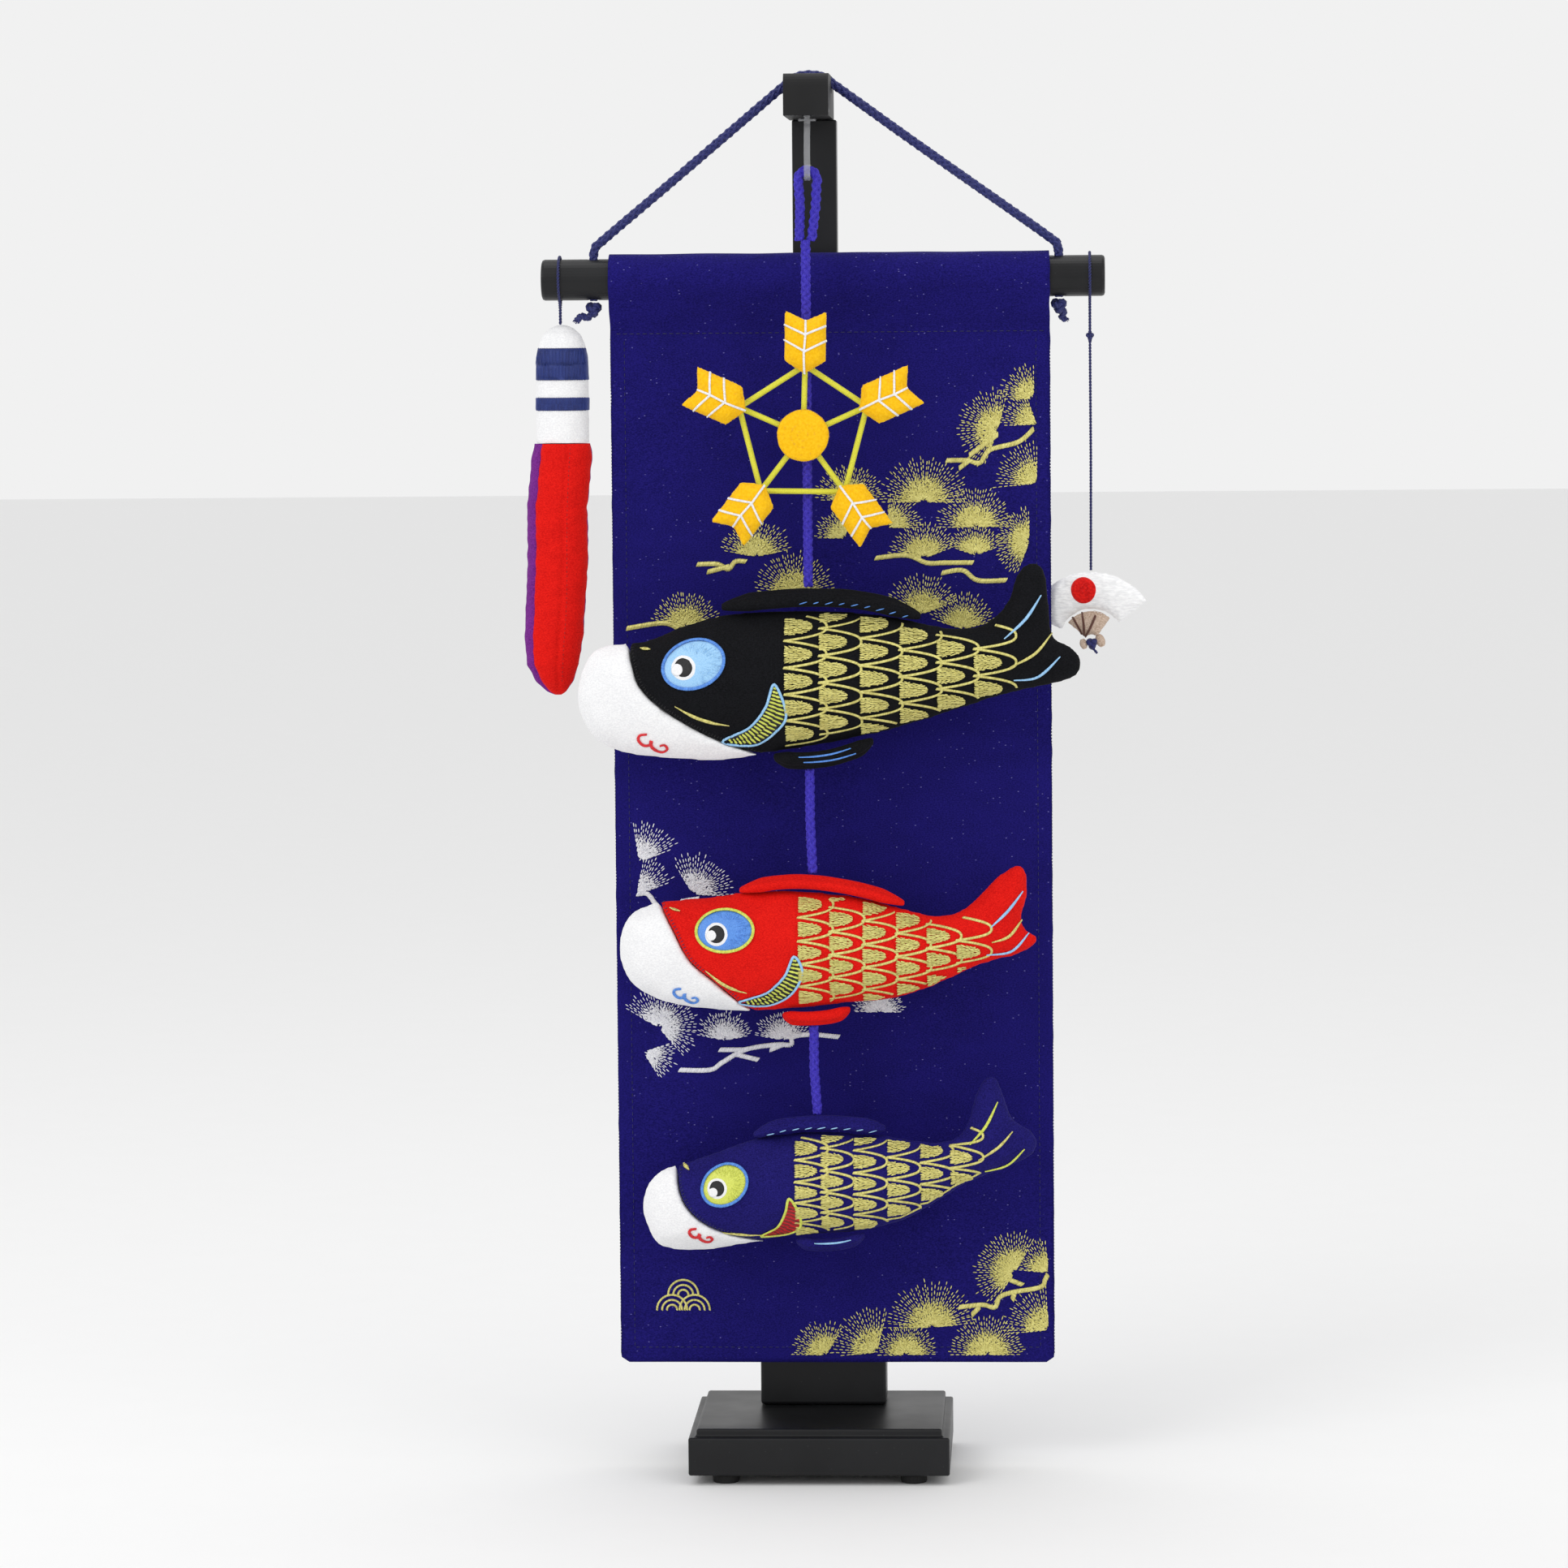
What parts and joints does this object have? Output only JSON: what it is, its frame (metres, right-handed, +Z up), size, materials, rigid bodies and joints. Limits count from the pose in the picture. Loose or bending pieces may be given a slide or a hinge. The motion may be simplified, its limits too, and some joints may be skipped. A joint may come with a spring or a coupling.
{
  "type": "carp streamer",
  "caption": "Table-top carp streamer: an embroidered cloth banner hangs from a bar on a two-part stand, with stuffed carps, an arrow wheel, a streamer and a fan on cords.",
  "frame": {"origin": "middle of the whole object's box, on the surface that the feet stand on", "axes": "+X to the viewer's right, +Y from the carps back to the post, +Z up"},
  "size_m": [0.2449, 0.086, 0.5504],
  "materials": {
    "black_lacquer": "black satin lacquer",
    "black_plastic": "moulded, matt",
    "rubber": "matt",
    "steel": "plain",
    "clear_plastic": "clear",
    "navy_cord": "braided",
    "violet_cord": "knitted",
    "violet_crepe": "crepe with metallic embroidery",
    "white_crepe": "crepe",
    "red_crepe": "crepe",
    "purple_crepe": "crepe",
    "tan_crepe": "crepe",
    "red_felt": "felt",
    "yellow_wire": "thread wound on wire",
    "yellow_felt": "felt",
    "black_skin": "smooth stretch cloth",
    "red_skin": "smooth stretch cloth",
    "blue_skin": "smooth stretch cloth",
    "eye_blue": "satin stitch",
    "gill_blue": "satin stitch"
  },
  "bodies": {
    "stand": {"base_board": "black_lacquer", "foot_front_left": "rubber", "foot_front_right": "rubber", "foot_rear_left": "rubber", "foot_rear_right": "rubber", "lower_column": "black_lacquer", "column_screw_left": "steel", "column_screw_right": "steel"},
    "post": {"upper_post": "black_lacquer", "hook_block": "black_plastic", "block_screw": "steel", "hanger_pin": "steel"},
    "banner": {"crossbar": "black_lacquer", "banner_cord": "navy_cord", "banner_knot_left": "navy_cord", "banner_knot_right": "navy_cord", "banner_cloth": "violet_crepe"},
    "streamer_string": {"streamer_thread": "navy_cord"},
    "streamer": {"streamer_head": "white_crepe", "streamer_front_panels": "red_crepe", "streamer_back_panels": "purple_crepe"},
    "fan_string": {"fan_loop": "navy_cord", "fan_knot": "navy_cord", "fan_thread": "navy_cord"},
    "fan": {"fan_leaf": "white_crepe", "fan_handle": "tan_crepe", "fan_disc": "red_felt", "fan_pivot_knot": "navy_cord"},
    "top_string": {"hook_hanger": "clear_plastic", "cord_loop": "violet_cord", "cord_top": "violet_cord"},
    "wheel": {"wheel_frame": "yellow_wire", "wheel_hub": "yellow_felt", "wheel_arrow_1": "yellow_felt", "wheel_arrow_2": "yellow_felt", "wheel_arrow_3": "yellow_felt", "wheel_arrow_4": "yellow_felt", "wheel_arrow_5": "yellow_felt"},
    "black_carp": {"black_body": "black_skin", "black_face": "white_crepe", "black_dorsal_fin": "black_skin", "black_belly_fin": "black_skin", "black_eye": "eye_blue", "black_gill": "gill_blue"},
    "middle_string": {"cord_middle": "violet_cord"},
    "red_carp": {"red_body": "red_skin", "red_face": "white_crepe", "red_dorsal_fin": "red_skin", "red_belly_fin": "red_skin", "red_eye": "eye_blue", "red_gill": "gill_blue"},
    "lower_string": {"cord_lower": "violet_cord"},
    "blue_carp": {"blue_body": "blue_skin", "blue_face": "white_crepe", "blue_dorsal_fin": "blue_skin", "blue_belly_fin": "blue_skin", "blue_eye": "eye_blue", "blue_gill": "gill_blue"}
  },
  "joints": [
    {"name": "post_lift", "type": "slide", "parent": "stand", "child": "post", "axis": [0, 0, 1], "range_m": [0, 0.05]},
    {"name": "banner_sway", "type": "hinge", "parent": "post", "child": "banner", "pos_m": [-0.0087, 0, 0.5354], "axis": [0, 1, 0], "range_deg": [-5, 5]},
    {"name": "streamer_swing", "type": "hinge", "parent": "banner", "child": "streamer_string", "pos_m": [-0.1069, 0, 0.4696], "axis": [1, 0, 0], "range_deg": [0, 25]},
    {"name": "streamer_turn", "type": "hinge", "parent": "streamer_string", "child": "streamer", "pos_m": [-0.1069, 0, 0.452], "axis": [0, 0, 1], "range_deg": [-20, 20]},
    {"name": "fan_swing", "type": "hinge", "parent": "banner", "child": "fan_string", "pos_m": [0.1002, 0, 0.4696], "axis": [1, 0, 0], "range_deg": [0, 25]},
    {"name": "fan_turn", "type": "hinge", "parent": "fan_string", "child": "fan", "pos_m": [0.1002, 0, 0.3545], "axis": [0, 0, -1], "range_deg": [0, 25]},
    {"name": "string_swing", "type": "hinge", "parent": "post", "child": "top_string", "pos_m": [-0.0087, -0.028, 0.5335], "axis": [-1, 0, 0], "range_deg": [0, 25]},
    {"name": "wheel_spin", "type": "hinge", "parent": "top_string", "child": "wheel", "pos_m": [-0.0107, -0.0346, 0.4089], "axis": [0, 1, 0], "continuous": true},
    {"name": "black_turn", "type": "hinge", "parent": "top_string", "child": "black_carp", "pos_m": [-0.0094, -0.028, 0.3504], "axis": [0, 0, 1], "range_deg": [-4, 4]},
    {"name": "middle_swing", "type": "hinge", "parent": "top_string", "child": "middle_string", "pos_m": [-0.0094, -0.028, 0.2792], "axis": [-1, 0, 0], "range_deg": [0, 12]},
    {"name": "red_turn", "type": "hinge", "parent": "middle_string", "child": "red_carp", "pos_m": [-0.0086, -0.028, 0.2385], "axis": [0, 0, 1], "range_deg": [-6, 6]},
    {"name": "lower_swing", "type": "hinge", "parent": "middle_string", "child": "lower_string", "pos_m": [-0.0086, -0.028, 0.1789], "axis": [-1, 0, 0], "range_deg": [0, 12]},
    {"name": "blue_turn", "type": "hinge", "parent": "lower_string", "child": "blue_carp", "pos_m": [-0.0074, -0.028, 0.1444], "axis": [0, 0, 1], "range_deg": [-6, 6]}
  ]
}
